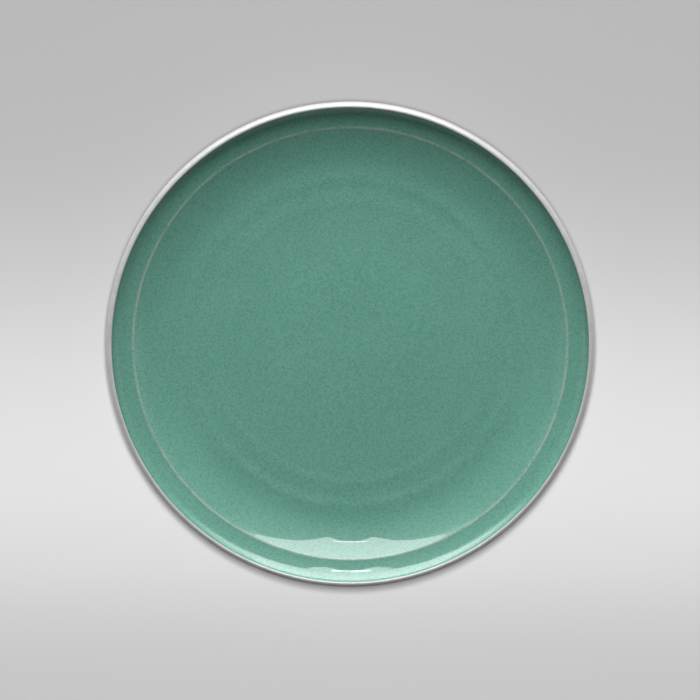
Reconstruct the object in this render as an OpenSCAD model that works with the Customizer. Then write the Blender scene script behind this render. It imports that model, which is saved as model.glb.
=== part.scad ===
// Stepped coupe dinner plate, lying on its foot ring.
// +Z is the plate's axis, pointing out of the well. The origin is on the axis, in the plane of the foot.
// The plate is one fired body of clay with glaze coats fused onto it. Every piece is a ring or a disc, turned
// from one outline: the outline starts on the axis in the well, runs out to the rim, over the lip and back
// under to the axis.

/* [Overall] */
// Outside diameter
plate_d = 267; // [255:0.5:280]
// Height from the foot to the top of the lip
plate_h = 23.5; // [23.3:0.1:24.3]
// Thickness of a glaze coat
glaze_t = 0.4; // [0.2:0.05:0.5]

/* [Well] */
// Height of the well's floor above the foot plane
well_z = 7; // [6.8:0.1:7.2]
// Thickness of clay and glaze under the floor's outer part
floor_t = 4.6; // [4.4:0.05:4.75]
// Height of the crest's inner edge above the well's floor
crest_rise = 6.5; // [6:0.1:6.7]
// Slope of the cove where it meets the crest, in degrees
crest_slope = 26; // [25:0.5:27]

/* [Shoulder] */
// Width of the shoulder and lip, from the middle of the crest line to the plate's edge
shoulder_w = 14.5; // [14.4:0.1:15]
// Radius of the rounded crest
crest_round = 4.2; // [3:0.1:4.5]
// Slope of the shelf just outside the crest, in degrees
shelf_slope = 10.5; // [10.25:0.25:11]
// Radius of the hollow across the shelf
shelf_round = 44; // [42:0.5:45]
// Slope at the shelf's outer edge, where the outer cove turns up, in degrees
cove_start = 18; // [17.5:0.1:18.1]
// Radius of the outer cove
cove_round = 9; // [8:0.25:9.25]
// Slope at the outer cove's edge, in degrees
cove_slope = 48; // [46:0.5:48.5]
// Radius of the corner between the outer cove and the rim wall
corner_round = 0.6; // [0.4:0.05:0.7]
// Slope of the rim wall's inner face, in degrees
wall_slope = 89; // [88.5:0.25:90]

/* [Lip and outside] */
// Radius of the lip's inner edge, from the rim wall up to the top of the lip
lip_inner = 0.7; // [0.6:0.05:0.75]
// Radius of the lip's outer edge, from the top of the lip to halfway round
lip_outer = 2.2; // [1.8:0.05:2.3]
// Radius of the rest of the lip's outer edge, down to the outside wall
lip_lower = 3.4; // [2.4:0.05:3.6]
// Radius of the bend from the outside wall to the underside
under_round = 5.5; // [5.25:0.25:5.75]
// Slope of the underside beneath the crest, in degrees
under_slope = 24; // [23:0.5:25]

/* [Foot] */
// How far the middle of the resting face lies inside the edge of the well's flat floor
foot_inset = 6.25; // [5.5:0.25:12]
// Width of the flat resting face
foot_face = 2.6; // [2:0.1:3.5]
// Slope of the foot ring's sides, in degrees
foot_slope = 75; // [72:1:78]
// Radius of the two rounded edges beside the resting face
foot_edge = 1; // [0.8:0.05:1.1]
// Radius of the hollow corners where the foot ring meets the underside
foot_fillet = 1.2; // [1:0.05:1.3]
// Height of the recess inside the foot ring
recess_z = 2.2; // [2.1:0.05:2.6]

/* [Hidden] */
$fn = 256;

GREEN = "#5a8f7f";
CREST = "#a9a79b";
WHITE = "#f4f3ef";
BISCUIT = "#d8cdbb";

plate_r = plate_d / 2;
crest_r = plate_r - shoulder_w;
// How far the flats that make a bend may lie from its true curve
bend_tol = 0.01;

// ---- outline steps ----
// A step is [length] for a straight, or [radius, turn] for a bend; a positive turn is to the left.
// A state is [r, z, heading], with the material on the right of the heading.
function is_bend(step) = len(step) == 2;
function parts(step) = is_bend(step) ? ceil(abs(step[1]) / (2 * acos(1 - bend_tol / step[0]))) : 1;
function bend_move(heading, radius, turn) =
    let (k = sign(turn) * radius)
    [k * (sin(heading + turn) - sin(heading)), k * (cos(heading) - cos(heading + turn))];
function go(state, step) =
    let (
        h = state[2],
        turn = is_bend(step) ? step[1] : 0,
        move = is_bend(step) ? bend_move(h, step[0], turn) : step[0] * [cos(h), sin(h)]
    )
    [state[0] + move[0], state[1] + move[1], h + turn];
function states_within(state, step) =
    let (n = parts(step))
    [for (i = [1 : 1 : n - 1]) go(state, [step[0], step[1] * i / n])];
function walk(state, steps, i = 0) =
    i == len(steps) ? [state]
    : concat([state], states_within(state, steps[i]), walk(go(state, steps[i]), steps, i + 1));
function last(list) = list[len(list) - 1];
function reversed(list) = [for (i = [len(list) - 1 : -1 : 0]) list[i]];
// The outline at a depth below the surface.
function skin(states, depth) =
    [for (s = states) [max(0, s[0] + depth * sin(s[2])), s[1] - depth * cos(s[2])]];
// Lengths of two straights with headings h1 and h2 that together make the move.
function two_straights(h1, h2, move) =
    [move[0] * sin(h2) - move[1] * cos(h2), move[1] * cos(h1) - move[0] * sin(h1)] / sin(h2 - h1);

// ---- front: well, crest, shoulder ----
crest_turn = crest_slope - shelf_slope;
cove_r = crest_rise / (1 - cos(crest_slope));
crest_half = crest_round * (sin(crest_slope) - sin(shelf_slope)) / 2;
well_flat = crest_r - crest_half - cove_r * sin(crest_slope);
well_path = walk([0, well_z, 0], [[well_flat], [cove_r, crest_slope]]);
crest_path = walk(last(well_path), [[crest_round, -crest_turn]]);

// The lip's top, where its inner and outer edges meet, and the start of its inner edge.
lip_half = 45;
lip_top = [plate_r, plate_h] - [lip_outer * sin(lip_half) + lip_lower * (1 - sin(lip_half)), 0];
lip_start = lip_top - bend_move(wall_slope, lip_inner, -wall_slope);
shelf_from = last(crest_path);
shoulder_move = [lip_start[0] - shelf_from[0], lip_start[1] - shelf_from[1]]
    - bend_move(shelf_slope, shelf_round, cove_start - shelf_slope)
    - bend_move(cove_start, cove_round, cove_slope - cove_start)
    - bend_move(cove_slope, corner_round, wall_slope - cove_slope);
shelf_and_wall = two_straights(cove_start, wall_slope, shoulder_move);
shoulder_path = walk(shelf_from, [
    [shelf_round, cove_start - shelf_slope],
    [shelf_and_wall[0]],
    [cove_round, cove_slope - cove_start],
    [corner_round, wall_slope - cove_slope],
    [shelf_and_wall[1]]
]);

// ---- rim: over the lip and down the outside wall ----
under_z = well_z - floor_t;
under_r = cove_r + floor_t;
lip_end = lip_top + bend_move(0, lip_outer, -lip_half) + bend_move(-lip_half, lip_lower, lip_half - 90);
outside_move = [well_flat - lip_end[0], under_z - lip_end[1]]
    - bend_move(-90, under_round, under_slope - 90)
    - bend_move(under_slope - 180, under_r, -under_slope);
outside_lengths = two_straights(-90, under_slope - 180, outside_move);
rim_path = walk(last(shoulder_path), [
    [lip_inner, -wall_slope],
    [lip_outer, -lip_half],
    [lip_lower, lip_half - 90],
    [outside_lengths[0]]
]);

// ---- underside, down to the foot ring ----
foot_fall = foot_edge * (1 - cos(foot_slope)) + foot_fillet * (1 - cos(foot_slope));
foot_side_out = (under_z - foot_fall) / sin(foot_slope);
foot_side_in = (recess_z - foot_fall) / sin(foot_slope);
foot_half = foot_face / 2 + (foot_edge + foot_fillet) * sin(foot_slope)
    + foot_side_out * cos(foot_slope);
back_path = walk(last(rim_path), [
    [under_round, under_slope - 90],
    [outside_lengths[1]],
    [under_r, -under_slope],
    [foot_inset - foot_half],
    [foot_fillet, foot_slope]
]);

// ---- bare foot ring ----
foot_path = walk(last(back_path), [
    [foot_side_out],
    [foot_edge, -foot_slope],
    [foot_face],
    [foot_edge, -foot_slope],
    [foot_side_in]
]);

// ---- recess inside the foot ring ----
recess_corner = walk(last(foot_path), [[foot_fillet, foot_slope]]);
recess_path = concat(recess_corner, [go(last(recess_corner), [last(recess_corner)[0]])]);

// ---- shapes ----
// A coat of glaze: the surface of the outline, one glaze thickness deep.
module coat(path) {
    rotate_extrude()
        polygon(concat(skin(path, 0), reversed(skin(path, glaze_t))));
}

// The fired clay: everything under the coats, bare only on the foot ring.
module clay_body() {
    color(BISCUIT)
        rotate_extrude()
            polygon(concat(
                skin(concat(well_path, crest_path, shoulder_path, rim_path, back_path), glaze_t),
                skin(foot_path, 0),
                skin(recess_path, glaze_t)
            ));
}

// Green gloss over the well's floor and inner cove.
module well_glaze() {
    color(GREEN) coat(well_path);
}

// The hairline over the crest, where the green runs thin and the clay shows through.
module crest_glaze() {
    color(CREST) coat(crest_path);
}

// Green gloss over the shelf, the outer cove and the rim wall.
module shoulder_glaze() {
    color(GREEN) coat(shoulder_path);
}

// White gloss over the lip and the outside wall.
module rim_glaze() {
    color(WHITE) coat(rim_path);
}

// White satin glaze over the underside, down to the foot ring.
module back_glaze() {
    color(WHITE) coat(back_path);
}

// White satin glaze inside the foot ring.
module recess_glaze() {
    color(WHITE) coat(recess_path);
}

clay_body();
well_glaze();
crest_glaze();
shoulder_glaze();
rim_glaze();
back_glaze();
recess_glaze();
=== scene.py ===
"""Looks of the dinner plate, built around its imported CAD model.

Every CAD node is replaced by a finer piece turned from the same outline. The outline is one line: it starts on the
axis in the well and runs out over the crest and the lip and back under to the axis. Each glaze coat covers one
stretch of it. Lengths are metres and angles are degrees.
"""
import math

import bpy
import numpy as np
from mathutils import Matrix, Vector


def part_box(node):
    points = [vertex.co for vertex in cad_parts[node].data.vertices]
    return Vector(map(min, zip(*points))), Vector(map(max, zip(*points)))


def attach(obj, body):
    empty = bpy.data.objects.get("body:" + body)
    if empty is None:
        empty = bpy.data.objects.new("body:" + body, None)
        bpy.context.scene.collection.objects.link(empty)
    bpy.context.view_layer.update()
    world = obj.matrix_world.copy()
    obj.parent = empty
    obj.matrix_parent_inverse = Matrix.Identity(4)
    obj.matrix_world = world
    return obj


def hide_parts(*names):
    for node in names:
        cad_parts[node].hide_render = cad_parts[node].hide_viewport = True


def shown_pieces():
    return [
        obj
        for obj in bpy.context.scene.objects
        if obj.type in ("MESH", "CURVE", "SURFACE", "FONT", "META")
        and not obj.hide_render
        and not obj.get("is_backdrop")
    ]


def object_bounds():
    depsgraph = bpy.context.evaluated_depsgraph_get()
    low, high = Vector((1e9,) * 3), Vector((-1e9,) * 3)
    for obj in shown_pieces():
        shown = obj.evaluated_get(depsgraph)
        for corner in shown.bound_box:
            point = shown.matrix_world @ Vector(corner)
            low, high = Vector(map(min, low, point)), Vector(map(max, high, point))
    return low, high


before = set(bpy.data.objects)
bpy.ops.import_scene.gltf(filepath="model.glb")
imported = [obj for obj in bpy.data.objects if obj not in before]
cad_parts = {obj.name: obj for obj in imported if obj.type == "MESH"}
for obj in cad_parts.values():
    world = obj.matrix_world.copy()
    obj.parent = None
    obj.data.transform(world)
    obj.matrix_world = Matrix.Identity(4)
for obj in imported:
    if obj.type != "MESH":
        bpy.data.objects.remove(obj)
cad_low, cad_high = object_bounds()

MM = 0.001

# ---- the plate's driving dimensions ----
PLATE_R = cad_high.x
PLATE_H = cad_high.z
GLAZE_T = 0.4 * MM
WELL_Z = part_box("well_glaze")[0].z + GLAZE_T
RECESS_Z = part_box("recess_glaze")[1].z - GLAZE_T
FLOOR_T = 4.6 * MM
CREST_R = PLATE_R - 14.5 * MM
CREST_RISE = 6.5 * MM
CREST_SLOPE = 26
CREST_ROUND = 4.2 * MM
SHELF_SLOPE = 10.5
SHELF_ROUND = 44 * MM
COVE_START = 18
COVE_ROUND = 9 * MM
COVE_SLOPE = 48
CORNER_ROUND = 0.6 * MM
WALL_SLOPE = 89
LIP_INNER = 0.7 * MM
LIP_OUTER = 2.2 * MM
LIP_LOWER = 3.4 * MM
LIP_HALF = 45
UNDER_ROUND = 5.5 * MM
UNDER_SLOPE = 24
FOOT_INSET = 6.25 * MM
FOOT_FACE = 2.6 * MM
FOOT_SLOPE = 75
FOOT_EDGE = 1 * MM
FOOT_FILLET = 1.2 * MM

SEGMENTS = 384
AZIMUTHS = np.linspace(0, 2 * math.pi, SEGMENTS, endpoint=False)


def sin(angle):
    return math.sin(math.radians(angle))


def cos(angle):
    return math.cos(math.radians(angle))


# ---- the outline ----
def bend_move(heading, radius, turn):
    """How far a bend carries the outline, in r and z. A positive turn is to the left."""
    k = math.copysign(radius, turn)
    return np.array([k * (sin(heading + turn) - sin(heading)), k * (cos(heading) - cos(heading + turn))])


def two_straights(first, second, move):
    """Lengths of two straights with those headings that together make the move."""
    lengths = np.array([move[0] * sin(second) - move[1] * cos(second),
                        move[1] * cos(first) - move[0] * sin(first)])
    return lengths / sin(second - first)


def step_move(heading, step):
    if len(step) == 2:
        return bend_move(heading, *step)
    return step[0] * np.array([cos(heading), sin(heading)])


class Outline:
    """A line in (r, z) with the material on its right, kept as close points along its length."""

    SPACING = 0.04 * MM

    def __init__(self, r, z, heading):
        self.points = [(0.0, r, z, heading)]

    def add(self, *steps):
        """Adds straights, (length,), and bends, (radius, turn). Returns the distance reached along the line."""
        for step in steps:
            s0, r0, z0, h0 = self.points[-1]
            bend = len(step) == 2
            length = step[0] * math.radians(abs(step[1])) if bend else step[0]
            count = max(2, math.ceil(length / self.SPACING))
            for i in range(1, count + 1):
                t = i / count
                part = (step[0], step[1] * t) if bend else (step[0] * t,)
                r, z = np.array([r0, z0]) + step_move(h0, part)
                self.points.append((s0 + length * t, r, z, h0 + (step[1] * t if bend else 0)))
        return self.points[-1][0]

    def at(self, s):
        """Radius, height and heading, in radians, at distances along the line."""
        table = np.array(self.points).T
        r, z, heading = (np.interp(s, table[0], row) for row in table[1:])
        return r, z, np.radians(heading)

    def end(self):
        return np.array(self.points[-1][1:3])


cove_r = CREST_RISE / (1 - cos(CREST_SLOPE))
crest_half = CREST_ROUND * (sin(CREST_SLOPE) - sin(SHELF_SLOPE)) / 2
well_flat = CREST_R - crest_half - cove_r * sin(CREST_SLOPE)
line = Outline(0, WELL_Z, 0)
well_end = line.add((well_flat,), (cove_r, CREST_SLOPE))
crest_end = line.add((CREST_ROUND, SHELF_SLOPE - CREST_SLOPE))

lip_top = np.array([PLATE_R - LIP_OUTER * sin(LIP_HALF) - LIP_LOWER * (1 - sin(LIP_HALF)), PLATE_H])
lip_start = lip_top - bend_move(WALL_SLOPE, LIP_INNER, -WALL_SLOPE)
shelf_length, wall_length = two_straights(
    COVE_START, WALL_SLOPE,
    lip_start - line.end() - bend_move(SHELF_SLOPE, SHELF_ROUND, COVE_START - SHELF_SLOPE)
    - bend_move(COVE_START, COVE_ROUND, COVE_SLOPE - COVE_START)
    - bend_move(COVE_SLOPE, CORNER_ROUND, WALL_SLOPE - COVE_SLOPE))
shoulder_end = line.add((SHELF_ROUND, COVE_START - SHELF_SLOPE), (shelf_length,),
                        (COVE_ROUND, COVE_SLOPE - COVE_START), (CORNER_ROUND, WALL_SLOPE - COVE_SLOPE),
                        (wall_length,))

under_z = WELL_Z - FLOOR_T
under_r = cove_r + FLOOR_T
line.add((LIP_INNER, -WALL_SLOPE), (LIP_OUTER, -LIP_HALF), (LIP_LOWER, LIP_HALF - 90))
outside_length, slope_length = two_straights(
    -90, UNDER_SLOPE - 180,
    np.array([well_flat, under_z]) - line.end() - bend_move(-90, UNDER_ROUND, UNDER_SLOPE - 90)
    - bend_move(UNDER_SLOPE - 180, under_r, -UNDER_SLOPE))
rim_end = line.add((outside_length,))

foot_fall = (FOOT_EDGE + FOOT_FILLET) * (1 - cos(FOOT_SLOPE))
foot_side_out = (under_z - foot_fall) / sin(FOOT_SLOPE)
foot_side_in = (RECESS_Z - foot_fall) / sin(FOOT_SLOPE)
foot_half = FOOT_FACE / 2 + (FOOT_EDGE + FOOT_FILLET) * sin(FOOT_SLOPE) + foot_side_out * cos(FOOT_SLOPE)
back_end = line.add((UNDER_ROUND, UNDER_SLOPE - 90), (slope_length,), (under_r, -UNDER_SLOPE),
                    (FOOT_INSET - foot_half,), (FOOT_FILLET, FOOT_SLOPE))
foot_end = line.add((foot_side_out,), (FOOT_EDGE, -FOOT_SLOPE), (FOOT_FACE,), (FOOT_EDGE, -FOOT_SLOPE),
                    (foot_side_in,))
line.add((FOOT_FILLET, FOOT_SLOPE))
line_end = line.add((line.end()[0],))


# ---- relief: what the maker's hands, the kiln and gravity did to the surface ----
def smooth(x):
    x = np.clip(x, 0, 1)
    return x * x * (3 - 2 * x)


def waves(azimuth, lobes, seed):
    """A smooth closed wave round the plate, between about -1 and 1."""
    draw = np.random.default_rng(seed)
    total = np.zeros_like(azimuth)
    for k in lobes:
        total += draw.normal() * np.cos(k * azimuth + draw.uniform(0, 2 * math.pi)) / math.sqrt(len(lobes))
    return total / 1.5


# Soft steps in the floor of the well: radius of the middle, width and rise going outwards.
FLOOR_STEPS = (
    (42 * MM, 38 * MM, -0.55 * MM),
    (75.3 * MM, 4.6 * MM, 0.17 * MM),
    (80.5 * MM, 5 * MM, -0.05 * MM),
    (88 * MM, 6.5 * MM, 0.40 * MM),
    (96 * MM, 12 * MM, -0.33 * MM),
)
THROWING_PITCH = 3.1 * MM
THROWING_DEPTH = 0.002 * MM
# The throwing rings fade in over this stretch from the middle, and out before the cove.
RINGS_FROM = 8 * MM
RINGS_FADE_IN = 20 * MM
RINGS_FADE_OUT = 10 * MM
WARP = 0.10 * MM
# Share of the plate's radius inside which the warp dies out.
WARP_FROM = 0.6
COARSE_GROOVE = (2.3 * MM, 0.010 * MM)
FINE_GROOVE = (0.9 * MM, 0.004 * MM)


def floor_relief(r, azimuth):
    """Height of the well's surface above the outline: slumped steps and faint throwing rings."""
    height = np.zeros_like(r)
    for middle, width, rise in FLOOR_STEPS:
        height += rise * (smooth((r - middle) / width + 0.5) - 1)
    turn = azimuth / (2 * math.pi)
    rings = np.sin(2 * math.pi * (r / THROWING_PITCH - turn)) * smooth((r - RINGS_FROM) / RINGS_FADE_IN)
    return height + THROWING_DEPTH * rings * smooth((well_flat - r) / RINGS_FADE_OUT)


def warp(r, azimuth):
    """How far the kiln bent the plate up or down."""
    return WARP * (r / PLATE_R) ** 2 * waves(azimuth, (2, 3, 4), seed=5)


def turning_marks(r, azimuth):
    """Fine grooves that the turning tool left under the plate."""
    turn = azimuth / (2 * math.pi)
    coarse = np.sin(2 * math.pi * (r / COARSE_GROOVE[0] - turn))
    fine = np.sin(2 * math.pi * (r / FINE_GROOVE[0] + 2 * turn))
    return COARSE_GROOVE[1] * coarse + FINE_GROOVE[1] * fine


def edge_wobble(azimuth, seed):
    """How far the edge of a coat wanders along the outline."""
    return waves(azimuth, (3, 5, 8, 13, 21, 34, 55, 89), seed)


WOBBLE_FADE = 2.5 * MM
# Radius inside which the turning marks die out under the plate.
MARKS_FROM = 20 * MM
# The coats' edges: distance along the outline, how far the edge wanders, and its seed.
CREST_IN = (well_end, 0.16 * MM, 11)
CREST_OUT = (crest_end, 0.16 * MM, 12)
GREEN_TOP = (shoulder_end, 0.12 * MM, 13)
RIM_LOW = (rim_end, 0.20 * MM, 14)
FOOT_OUT = (back_end, 0.05 * MM, 15)
FOOT_IN = (foot_end, 0.05 * MM, 16)
AXIS_TOP = (0, 0, 0)
AXIS_UNDER = (line_end, 0, 0)
EDGES = (CREST_IN, CREST_OUT, GREEN_TOP, RIM_LOW, FOOT_OUT, FOOT_IN)


def surface(s, depth):
    """Points of the plate's surface, or of a skin below it: an array of stations by azimuths by xyz."""
    s = np.asarray(s, float)[:, None]
    azimuth = AZIMUTHS[None, :]
    along = s + np.zeros_like(azimuth)
    for place, reach, seed in EDGES:
        along = along + reach * edge_wobble(azimuth, seed) * smooth(1 - np.abs(s - place) / WOBBLE_FADE)
    r, z, heading = line.at(along)
    out = -depth + np.zeros_like(r)
    front = along < well_end + WOBBLE_FADE
    out = out + np.where(front, floor_relief(r, azimuth), 0)
    under = (along > rim_end) & ((along < back_end) | (along > foot_end))
    fade = smooth((along - rim_end) / WOBBLE_FADE) * smooth(np.abs(along - foot_end) / WOBBLE_FADE)
    fade = fade * smooth(np.abs(along - back_end) / WOBBLE_FADE) * smooth(r / MARKS_FROM)
    out = out + np.where(under, turning_marks(r, azimuth) * fade, 0)
    r = np.maximum(0, r - out * np.sin(heading))
    z = z + out * np.cos(heading)
    z = z + warp(r, azimuth) * smooth((r / PLATE_R - WARP_FROM) / (1 - WARP_FROM))
    return np.stack([r * np.cos(azimuth), r * np.sin(azimuth), z], axis=-1)


def stations(start, end, spacing):
    return np.linspace(start, end, max(2, math.ceil((end - start) / spacing) + 1))


# ---- meshes ----
SHARP = math.radians(35)
ON_AXIS = 1e-7


def turned_mesh(name, rows):
    """A closed mesh from rings of points. A row on the axis becomes a single point, with a fan round it."""
    points, rings = [], []
    for row in rows:
        on_axis = np.abs(row[:, :2]).max() < ON_AXIS
        kept = row[:1] if on_axis else row
        rings.append(np.arange(len(kept)) + len(points))
        points.extend(kept.tolist())
    faces = []
    ends_meet = len(rings[0]) > 1 and len(rings[-1]) > 1
    pairs = list(zip(rings, rings[1:])) + ([(rings[-1], rings[0])] if ends_meet else [])
    for a, b in pairs:
        for j in range(SEGMENTS):
            k = (j + 1) % SEGMENTS
            corners = [a[j % len(a)], b[j % len(b)], b[k % len(b)], a[k % len(a)]]
            kept = [int(c) for i, c in enumerate(corners) if c != corners[i - 1]]
            if len(kept) > 2:
                faces.append(kept)
    mesh = bpy.data.meshes.new(name)
    mesh.from_pydata(points, [], faces)
    mesh.shade_smooth()
    mesh.set_sharp_from_angle(angle=SHARP)
    mesh.validate()
    return mesh


def paint(mesh, name, values):
    layer = mesh.attributes.new(name, "FLOAT", "POINT")
    layer.data.foreach_set("value", np.asarray(values, np.float32))


def distances(rows, s, place):
    """Each mesh point's distance along the outline from an edge, in millimetres."""
    found = []
    for row, at in zip(rows, s):
        on_axis = np.abs(row[:, :2]).max() < ON_AXIS
        found += [abs(at - place) / MM] * (1 if on_axis else SEGMENTS)
    return found


def add_piece(name, mesh, material, nodes):
    piece = bpy.data.objects.new(name, mesh)
    bpy.context.scene.collection.objects.link(piece)
    mesh.materials.append(material)
    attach(piece, "root")
    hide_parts(*nodes)
    return piece


def coat(name, start, end, spacing, material):
    """A coat of glaze over one stretch of the outline: its surface, then its inner face on the way back."""
    outer = stations(start[0], end[0], spacing)
    inner = stations(start[0], end[0], 4 * spacing)[::-1]
    rows = list(surface(outer, 0)) + list(surface(inner, GLAZE_T))
    mesh = turned_mesh(name, rows)
    s = np.concatenate([outer, inner])
    paint(mesh, "from_start", distances(rows, s, start[0]))
    paint(mesh, "from_end", distances(rows, s, end[0]))
    return add_piece(name, mesh, material, [name])


def clay(material):
    """The fired clay under the coats, bare on the foot ring."""
    covered = stations(0, back_end, 1.2 * MM)
    bare = stations(back_end, foot_end, 0.12 * MM)
    recess = stations(foot_end, line_end, 1.5 * MM)
    rows = [*surface(covered, GLAZE_T), *surface(bare, 0), *surface(recess, GLAZE_T)]
    return add_piece("clay_body", turned_mesh("clay_body", rows), material, ["clay_body"])


# ---- materials ----
class Look:
    """A Principled material whose detail comes from procedural nodes in the object's own coordinates."""

    def __init__(self, name, **uniform):
        self.material = bpy.data.materials.new(name)
        self.material.use_nodes = True
        self.nodes = self.material.node_tree.nodes
        self.links = self.material.node_tree.links
        self.shader = self.nodes["Principled BSDF"]
        for socket, value in uniform.items():
            self.shader.inputs[socket.replace("_", " ")].default_value = value
        self.place = self.nodes.new("ShaderNodeTexCoord").outputs["Object"]

    def feed(self, socket, value):
        if isinstance(value, bpy.types.NodeSocket):
            self.links.new(value, socket)
        else:
            socket.default_value = value

    def math(self, operation, a, b):
        node = self.nodes.new("ShaderNodeMath")
        node.operation = operation
        self.feed(node.inputs[0], a)
        self.feed(node.inputs[1], b)
        return node.outputs[0]

    def noise(self, size, detail=2.0, rough=0.5):
        """Noise with features of about that size in metres, around 0.5."""
        node = self.nodes.new("ShaderNodeTexNoise")
        self.feed(node.inputs["Vector"], self.place)
        self.feed(node.inputs["Scale"], 1 / size)
        self.feed(node.inputs["Detail"], detail)
        self.feed(node.inputs["Roughness"], rough)
        return node.outputs["Fac"]

    def cells(self, size):
        """Distance from scattered points, about that far apart."""
        node = self.nodes.new("ShaderNodeTexVoronoi")
        self.feed(node.inputs["Vector"], self.place)
        self.feed(node.inputs["Scale"], 1 / size)
        return node.outputs["Distance"]

    def spread(self, value, low, high, to_low=0.0, to_high=1.0):
        """Maps low..high to to_low..to_high smoothly, and holds it outside."""
        node = self.nodes.new("ShaderNodeMapRange")
        node.interpolation_type = "SMOOTHSTEP"
        for socket, number in zip(node.inputs[1:5], (low, high, to_low, to_high)):
            self.feed(socket, number)
        self.feed(node.inputs[0], value)
        return node.outputs[0]

    def mix(self, amount, a, b, blend="MIX"):
        node = self.nodes.new("ShaderNodeMix")
        node.data_type = "RGBA"
        node.blend_type = blend
        self.feed(node.inputs[0], amount)
        self.feed(node.inputs[6], a)
        self.feed(node.inputs[7], b)
        return node.outputs[2]

    def painted(self, name):
        node = self.nodes.new("ShaderNodeAttribute")
        node.attribute_name = name
        return node.outputs["Fac"]

    def bump(self, height, depth, under=None):
        """Raises the surface by height, from 0 to 1, times depth in metres."""
        node = self.nodes.new("ShaderNodeBump")
        node.inputs["Strength"].default_value = 1.0
        node.inputs["Distance"].default_value = depth
        self.links.new(height, node.inputs["Height"])
        if under:
            self.links.new(under, node.inputs["Normal"])
        return node.outputs[0]

    def finish(self, color, roughness, normal, coat_normal=None):
        self.feed(self.shader.inputs["Base Color"], color)
        self.feed(self.shader.inputs["Roughness"], roughness)
        self.feed(self.shader.inputs["Normal"], normal)
        if coat_normal:
            self.feed(self.shader.inputs["Coat Normal"], coat_normal)
        return self.material


def tint(r, g, b):
    return (r, g, b, 1.0)


GREEN = tint(0.080, 0.235, 0.181)
GREEN_DEEP = tint(0.050, 0.183, 0.137)
GREEN_PALE = tint(0.128, 0.291, 0.233)
GREY_SPECK = tint(0.128, 0.192, 0.169)
DARK_SPECK = tint(0.029, 0.099, 0.076)
CLAY_SHOWS = tint(0.238, 0.293, 0.260)
WARM_FRINGE = tint(0.225, 0.168, 0.154)
WHITE = tint(0.388, 0.387, 0.379)
WHITE_COOL = tint(0.351, 0.358, 0.354)
SATIN = tint(0.540, 0.533, 0.510)
SATIN_WARM = tint(0.480, 0.462, 0.430)
IRON = tint(0.180, 0.126, 0.090)
BISCUIT = tint(0.480, 0.408, 0.324)
BISCUIT_DARK = tint(0.348, 0.276, 0.206)
GRIT = tint(0.600, 0.546, 0.462)


def green_color(look, break_from):
    """Speckled green that turns grey-brown and breaks up next to the given edges."""
    clouds = look.noise(26 * MM, 3, 0.55)
    mottle = look.noise(1.1 * MM, 3, 0.65)
    grain = look.noise(0.45 * MM, 2, 0.6)
    color = look.mix(look.spread(clouds, 0.35, 0.65, 0.0, 0.22), GREEN, GREEN_DEEP)
    color = look.mix(look.spread(mottle, 0.40, 0.62, 0.0, 0.50), color, GREEN_PALE)
    color = look.mix(look.spread(mottle, 0.52, 0.36, 0.0, 0.45), color, GREEN_DEEP)
    color = look.mix(look.spread(grain, 0.52, 0.68, 0.0, 0.55), color, GREY_SPECK)
    specks = look.spread(look.cells(2.6 * MM), 0.16, 0.08)
    color = look.mix(look.math("MULTIPLY", specks, 0.5), color, DARK_SPECK)
    ragged = look.noise(0.7 * MM, 3, 0.6)
    for name, reach in break_from:
        near = look.math("ADD", look.painted(name), look.math("MULTIPLY", ragged, reach))
        color = look.mix(look.spread(near, 1.15 * reach, 0.45 * reach, 0.0, 0.55), color, CLAY_SHOWS)
    return color


def glaze_surface(look, peel, pits):
    """Normals of a glossy coat: slow waves as it flowed, and pinholes."""
    flow = look.noise(7 * MM, 2, 0.4)
    skin = look.bump(flow, peel)
    holes = look.spread(look.cells(3.4 * MM), 0.02, 0.09)
    return look.bump(holes, pits, skin)


def green_glaze(name, break_from):
    look = Look(name, IOR=1.5, Specular_IOR_Level=0.3, Coat_Weight=1.0, Coat_Roughness=0.03, Coat_IOR=1.5)
    color = green_color(look, break_from)
    roughness = look.spread(look.noise(1.6 * MM, 2), 0.3, 0.7, 0.34, 0.50)
    normal = glaze_surface(look, 0.010 * MM, 0.006 * MM)
    grain = look.bump(look.noise(0.5 * MM, 2), 0.010 * MM, normal)
    return look.finish(color, roughness, grain, normal)


def thin_glaze():
    """Glaze that ran thin over the crest: patches of green on clay."""
    look = Look("thin_glaze", IOR=1.5, Specular_IOR_Level=0.25, Coat_Weight=0.8, Coat_Roughness=0.10, Coat_IOR=1.5)
    green = green_color(look, ())
    patches = look.noise(1.5 * MM, 4, 0.7)
    long_patches = look.noise(9 * MM, 2, 0.5)
    bare = look.math("ADD", look.math("MULTIPLY", patches, 0.65), look.math("MULTIPLY", long_patches, 0.35))
    color = look.mix(look.spread(bare, 0.40, 0.54, 0.10, 0.80), green, CLAY_SHOWS)
    normal = glaze_surface(look, 0.008 * MM, 0.006 * MM)
    return look.finish(color, look.spread(bare, 0.4, 0.6, 0.35, 0.6), normal, normal)


def white_gloss():
    look = Look("white_gloss_glaze", IOR=1.5, Specular_IOR_Level=0.3, Coat_Weight=1.0, Coat_Roughness=0.05,
                Coat_IOR=1.5)
    color = look.mix(look.spread(look.noise(5 * MM, 3), 0.4, 0.65), WHITE, WHITE_COOL)
    specks = look.spread(look.cells(7 * MM), 0.055, 0.02)
    color = look.mix(look.math("MULTIPLY", specks, 0.5), color, IRON)
    ragged = look.math("ADD", look.painted("from_start"), look.math("MULTIPLY", look.noise(0.8 * MM, 3), 0.5))
    color = look.mix(look.spread(ragged, 0.75, 0.30, 0.0, 0.85), color, WARM_FRINGE)
    normal = glaze_surface(look, 0.008 * MM, 0.004 * MM)
    return look.finish(color, look.spread(look.noise(2 * MM, 2), 0.3, 0.7, 0.28, 0.42), normal, normal)


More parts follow.
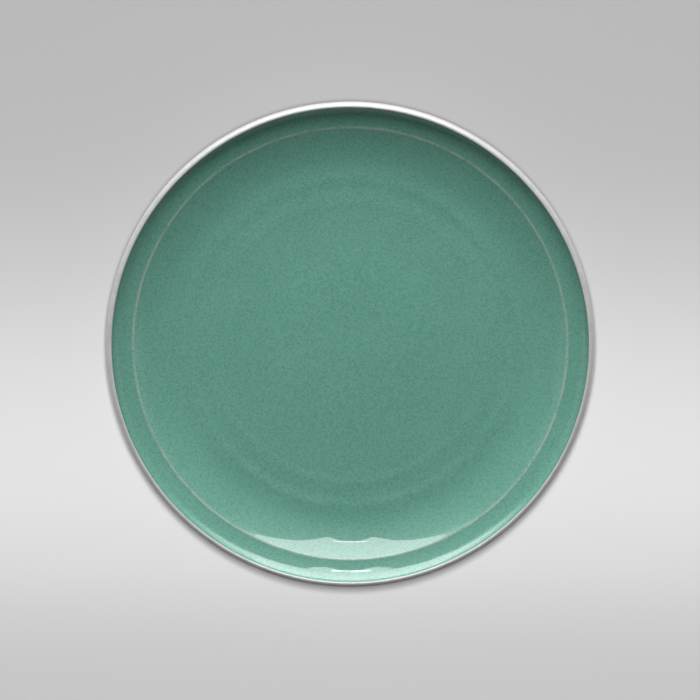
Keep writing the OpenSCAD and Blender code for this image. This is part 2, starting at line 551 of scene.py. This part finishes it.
def white_satin():
    look = Look("white_satin_glaze", IOR=1.5, Specular_IOR_Level=0.5, Coat_Weight=0.35, Coat_Roughness=0.28,
                Coat_IOR=1.5)
    color = look.mix(look.spread(look.noise(30 * MM, 4), 0.35, 0.7), SATIN, SATIN_WARM)
    color = look.mix(look.spread(look.noise(1.2 * MM, 3), 0.5, 0.75, 0.0, 0.25), color, WHITE_COOL)
    specks = look.spread(look.cells(5 * MM), 0.07, 0.02)
    color = look.mix(look.math("MULTIPLY", specks, 0.55), color, IRON)
    for name in ("from_start", "from_end"):
        edge = look.math("ADD", look.painted(name), look.math("MULTIPLY", look.noise(0.9 * MM, 3), 0.6))
        color = look.mix(look.spread(edge, 0.80, 0.35, 0.0, 0.35), color, SATIN_WARM)
    normal = look.bump(look.noise(2.2 * MM, 3), 0.02 * MM, glaze_surface(look, 0.02 * MM, 0.01 * MM))
    return look.finish(color, look.spread(look.noise(3 * MM, 3), 0.3, 0.7, 0.36, 0.52), normal, normal)


def fired_clay():
    """Bare fired clay: sandy grain, pores in the surface and broad darker patches."""
    look = Look("fired_clay", IOR=1.5, Specular_IOR_Level=0.25)
    color = look.mix(look.spread(look.noise(1.4 * MM, 4, 0.7), 0.35, 0.65), BISCUIT, BISCUIT_DARK)
    color = look.mix(look.spread(look.cells(0.9 * MM), 0.22, 0.10, 0.0, 0.6), color, GRIT)
    color = look.mix(look.spread(look.noise(14 * MM, 3), 0.45, 0.7, 0.0, 0.35), color, BISCUIT_DARK)
    pores = look.spread(look.cells(1.3 * MM), 0.05, 0.18)
    grain = look.bump(look.noise(0.35 * MM, 3, 0.7), 0.05 * MM)
    return look.finish(color, look.spread(look.noise(1 * MM, 2), 0.3, 0.7, 0.78, 0.92),
                       look.bump(pores, 0.04 * MM, grain))


# ---- the pieces ----
well = coat("well_glaze", AXIS_TOP, CREST_IN, 0.6 * MM, green_glaze("green_glaze_well", [("from_end", 0.5)]))
crest = coat("crest_glaze", CREST_IN, CREST_OUT, 0.12 * MM, thin_glaze())
shoulder = coat("shoulder_glaze", CREST_OUT, GREEN_TOP, 0.22 * MM,
                green_glaze("green_glaze_shoulder", [("from_start", 0.4), ("from_end", 0.3)]))
coat("rim_glaze", GREEN_TOP, RIM_LOW, 0.16 * MM, white_gloss())
satin = white_satin()
coat("back_glaze", RIM_LOW, FOOT_OUT, 0.35 * MM, satin)
coat("recess_glaze", FOOT_IN, AXIS_UNDER, 0.6 * MM, satin)
clay(fired_clay())

# ---- studio ----
TILT = 6.2
CAMERA_DISTANCE = 3.0
SENSOR = 36.0
CLIP_END = 50
VIEW_WIDTH = 1.433 * 2 * PLATE_R
AIM = Vector((-0.0001, -0.0024, 0.86 * PLATE_H))


def add_camera():
    data = bpy.data.cameras.new("camera")
    data.sensor_width = SENSOR
    data.lens = SENSOR * CAMERA_DISTANCE / VIEW_WIDTH
    data.clip_end = CLIP_END
    camera = bpy.data.objects.new("camera", data)
    camera.location = AIM + CAMERA_DISTANCE * Vector((0, sin(TILT), cos(TILT)))
    camera.rotation_euler = (-math.radians(TILT), 0, 0)
    bpy.context.scene.collection.objects.link(camera)
    bpy.context.scene.camera = camera


def emission(name, strength, falloff=None):
    """A glowing material. falloff is (centre, stretch, reach): the glow fades with the stretched distance."""
    material = bpy.data.materials.new(name)
    material.use_nodes = True
    nodes, links = material.node_tree.nodes, material.node_tree.links
    nodes.clear()
    glow = nodes.new("ShaderNodeEmission")
    glow.inputs["Strength"].default_value = strength
    out = nodes.new("ShaderNodeOutputMaterial")
    links.new(glow.outputs[0], out.inputs["Surface"])
    if falloff:
        centre, stretch, reach = falloff
        place = nodes.new("ShaderNodeTexCoord")
        stretched = nodes.new("ShaderNodeVectorMath")
        stretched.operation = "MULTIPLY"
        stretched.inputs[1].default_value = stretch
        away = nodes.new("ShaderNodeVectorMath")
        away.operation = "DISTANCE"
        away.inputs[1].default_value = [a * b for a, b in zip(centre, stretch)]
        fade = nodes.new("ShaderNodeMapRange")
        fade.interpolation_type = "SMOOTHSTEP"
        for socket, number in zip(fade.inputs[1:5], (0, reach, strength, 0)):
            socket.default_value = number
        links.new(place.outputs["Object"], stretched.inputs[0])
        links.new(stretched.outputs[0], away.inputs[0])
        links.new(away.outputs["Value"], fade.inputs[0])
        links.new(fade.outputs[0], glow.inputs["Strength"])
    return material


def panel(name, corners, distance, material):
    """A flat glowing panel across the Y axis at that distance. Corners are (x, z), as shares of the distance."""
    mesh = bpy.data.meshes.new(name)
    mesh.from_pydata([(x * distance, distance, z * abs(distance)) for x, z in corners], [], [range(len(corners))])
    mesh.materials.append(material)
    light = bpy.data.objects.new(name, mesh)
    light.visible_camera = False
    bpy.context.scene.collection.objects.link(light)
    light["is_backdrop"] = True
    return light


def area_light(name, size, location, power):
    data = bpy.data.lights.new(name, "AREA")
    data.shape = "RECTANGLE"
    data.size, data.size_y = size
    data.energy = power
    light = bpy.data.objects.new(name, data)
    light.location = location
    light.rotation_euler = (-Vector(location)).to_track_quat("-Z", "Y").to_euler()
    light.visible_camera = False
    bpy.context.scene.collection.objects.link(light)
    return light


# Half of the key softbox's outline: its scalloped top edge, then its side down to the floor.
# A script found its corners and the lamp's, by mirroring points on the photo's highlight in the plate.
KEY_HALF = ((0, 2.14), (0.06, 2.14), (0.098, 2.33), (0.15, 2.49), (0.206, 2.21), (0.29, 1.85), (0.40, 1.62),
            (0.61, 1.365), (0.53, 1.17), (0.50, 0.02))
KEY_DISTANCE = 1.6
KEY_GLOW = 6.95
LAMP_DISTANCE = 0.99 * KEY_DISTANCE
LAMP_HALF = ((0.11, 2.15), (0.11, 2.085))
LAMP_GLOW = 20.0
HALO_HALF = ((2.0, 3.2), (2.0, 0.02))
HALO_DISTANCE = 1.62
HALO_CENTRE = (-0.1 * HALO_DISTANCE, HALO_DISTANCE, 0.7 * HALO_DISTANCE)
HALO_STRETCH = (0.7, 1, 1)
HALO_REACH = 1.05 * HALO_DISTANCE
HALO_GLOW = 10.8
FILL_HALF = ((1.0, 1.6), (1.0, 0.02))
FILL_DISTANCE = -1.62
FILL_CENTRE = (0, FILL_DISTANCE, 0.45)
FILL_REACH = 1.0
FILL_GLOW = 3.2
SIDE_POWER = 2.8
SIDE_SIZE = (1.5, 1.5)
SIDE_X, SIDE_Y, SIDE_Z = 2.2, 0.2, 1.6
FLOOR_LIGHT_SIZE = (0.4, 0.75)
FLOOR_LIGHT_PLACE = (0, 0.40, 2.6)
FLOOR_POWER = 140
WORLD_GLOW = 0.09


def mirrored(half):
    """A closed outline from its half with x >= 0."""
    return list(half) + [(-x, z) for x, z in reversed(half) if x > 0]


def add_lights(floor, green_pieces):
    key = panel("key_softbox", mirrored(KEY_HALF), KEY_DISTANCE, emission("key_glow", KEY_GLOW))
    lamp = panel("lamp", mirrored(LAMP_HALF), LAMP_DISTANCE, emission("lamp_glow", LAMP_GLOW))
    halo = panel("halo", mirrored(HALO_HALF), HALO_DISTANCE,
                 emission("halo_glow", HALO_GLOW, (HALO_CENTRE, HALO_STRETCH, HALO_REACH)))
    fill = panel("fill", mirrored(FILL_HALF), FILL_DISTANCE,
                 emission("fill_glow", FILL_GLOW, (FILL_CENTRE, (1, 1, 1), FILL_REACH)))
    left = area_light("left_softbox", SIDE_SIZE, (-SIDE_X, SIDE_Y, SIDE_Z), SIDE_POWER)
    right = area_light("right_softbox", SIDE_SIZE, (SIDE_X, SIDE_Y, SIDE_Z), SIDE_POWER)
    over = area_light("floor_softbox", FLOOR_LIGHT_SIZE, FLOOR_LIGHT_PLACE, FLOOR_POWER)
    plate_only = bpy.data.collections.new("lit_plate")
    green_only = bpy.data.collections.new("lit_green")
    floor_only = bpy.data.collections.new("lit_floor")
    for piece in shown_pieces():
        plate_only.objects.link(piece)
    for piece in green_pieces:
        green_only.objects.link(piece)
    floor_only.objects.link(floor)
    for light in (key, lamp, halo, left, right):
        light.light_linking.receiver_collection = plate_only
    # The fill stands in for light off the floor. It reaches only the green pieces, which no real light does.
    fill.light_linking.receiver_collection = green_only
    fill.visible_glossy = False
    over.light_linking.receiver_collection = floor_only
    # Only the plate shadows the floor: the panels would darken it behind them.
    over.light_linking.blocker_collection = plate_only
    world = bpy.data.worlds.new("studio")
    world.use_nodes = True
    world.node_tree.nodes["Background"].inputs["Color"].default_value = tint(1, 1, 1)
    world.node_tree.nodes["Background"].inputs["Strength"].default_value = WORLD_GLOW
    bpy.context.scene.world = world


# Painted light across the floor: its tone, from the front to the back, stands in for how the light falls. Y in
# plate radii, and how light it is.
# A script worked these tones out from eight rows of the photo's background. They are painted, not light.
FLOOR_PAINTED_LIGHT = ((-1.44, 0.289), (-1.2, 0.303), (-0.95, 0.353), (-0.55, 0.395), (-0.1, 0.358), (0.3, 0.291),
               (0.75, 0.242), (1.4, 0.233))
# Away from the plate the floor turns paler. Beyond the cameras it curves up into a backdrop.
FLOOR_FLAT = 1.1 * CAMERA_DISTANCE
FLOOR_BEND = 2.0
BACKDROP_TOP = 3.5
PALE_FROM = 0.32
PALE_AT = 2.2
PALE = 0.8
BACKDROP_SIDES = 96
BACKDROP_STEP = 5


def backdrop_mesh():
    """The floor as a wide dish with tall sides, turned round the plate's axis."""
    profile = [(0, 0), (FLOOR_FLAT, 0)]
    for angle in range(BACKDROP_STEP, 90 + BACKDROP_STEP, BACKDROP_STEP):
        profile.append((FLOOR_FLAT + FLOOR_BEND * sin(angle), FLOOR_BEND * (1 - cos(angle))))
    profile.append((FLOOR_FLAT + FLOOR_BEND, BACKDROP_TOP))
    points = [(0, 0, 0)]
    faces = []
    for r, z in profile[1:]:
        points += [(r * cos(360 * j / BACKDROP_SIDES), r * sin(360 * j / BACKDROP_SIDES), z)
                   for j in range(BACKDROP_SIDES)]
    for j in range(BACKDROP_SIDES):
        k = (j + 1) % BACKDROP_SIDES
        faces.append((0, 1 + j, 1 + k))
        for ring in range(len(profile) - 2):
            inner = 1 + ring * BACKDROP_SIDES
            outer = inner + BACKDROP_SIDES
            faces.append((inner + j, outer + j, outer + k, inner + k))
    mesh = bpy.data.meshes.new("floor")
    mesh.from_pydata(points, [], faces)
    mesh.shade_smooth()
    return mesh


def add_floor():
    mesh = backdrop_mesh()
    floor = bpy.data.objects.new("floor", mesh)
    floor.location.z = cad_low.z
    bpy.context.scene.collection.objects.link(floor)
    material = bpy.data.materials.new("floor_paper")
    material.use_nodes = True
    nodes, links = material.node_tree.nodes, material.node_tree.links
    shader = nodes["Principled BSDF"]
    shader.inputs["Roughness"].default_value = 0.9
    shader.inputs["Specular IOR Level"].default_value = 0.0
    place = nodes.new("ShaderNodeTexCoord")
    split = nodes.new("ShaderNodeSeparateXYZ")
    front, back = FLOOR_PAINTED_LIGHT[0][0], FLOOR_PAINTED_LIGHT[-1][0]
    share = nodes.new("ShaderNodeMapRange")
    for socket, number in zip(share.inputs[1:5], (front * PLATE_R, back * PLATE_R, 0, 1)):
        socket.default_value = number
    # The ramp paints light across the floor: lightest in a band in front of the plate, darker behind it.
    ramp = nodes.new("ShaderNodeValToRGB")
    ramp.color_ramp.interpolation = "B_SPLINE"
    stops = ramp.color_ramp.elements
    for i, (y, tone) in enumerate(FLOOR_PAINTED_LIGHT):
        at = (y - front) / (back - front)
        stop = stops[i] if i < 2 else stops.new(at)
        stop.position = at
        stop.color = tint(tone, tone, tone)
    links.new(place.outputs["Object"], split.inputs[0])
    links.new(split.outputs["Y"], share.inputs[0])
    links.new(share.outputs[0], ramp.inputs[0])
    away = nodes.new("ShaderNodeVectorMath")
    away.operation = "LENGTH"
    pale = nodes.new("ShaderNodeMapRange")
    pale.interpolation_type = "SMOOTHSTEP"
    for socket, number in zip(pale.inputs[1:5], (PALE_FROM, PALE_AT, 0, 1)):
        socket.default_value = number
    mix = nodes.new("ShaderNodeMix")
    mix.data_type = "RGBA"
    mix.inputs[7].default_value = tint(PALE, PALE, PALE)
    links.new(place.outputs["Object"], away.inputs[0])
    links.new(away.outputs["Value"], pale.inputs[0])
    links.new(pale.outputs[0], mix.inputs[0])
    links.new(ramp.outputs[0], mix.inputs[6])
    links.new(mix.outputs[2], shader.inputs["Base Color"])
    mesh.materials.append(material)
    floor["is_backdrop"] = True
    return floor


add_camera()
add_lights(add_floor(), (well, crest, shoulder))
bpy.context.scene.view_settings.view_transform = "Standard"
bpy.context.scene.view_settings.look = "None"
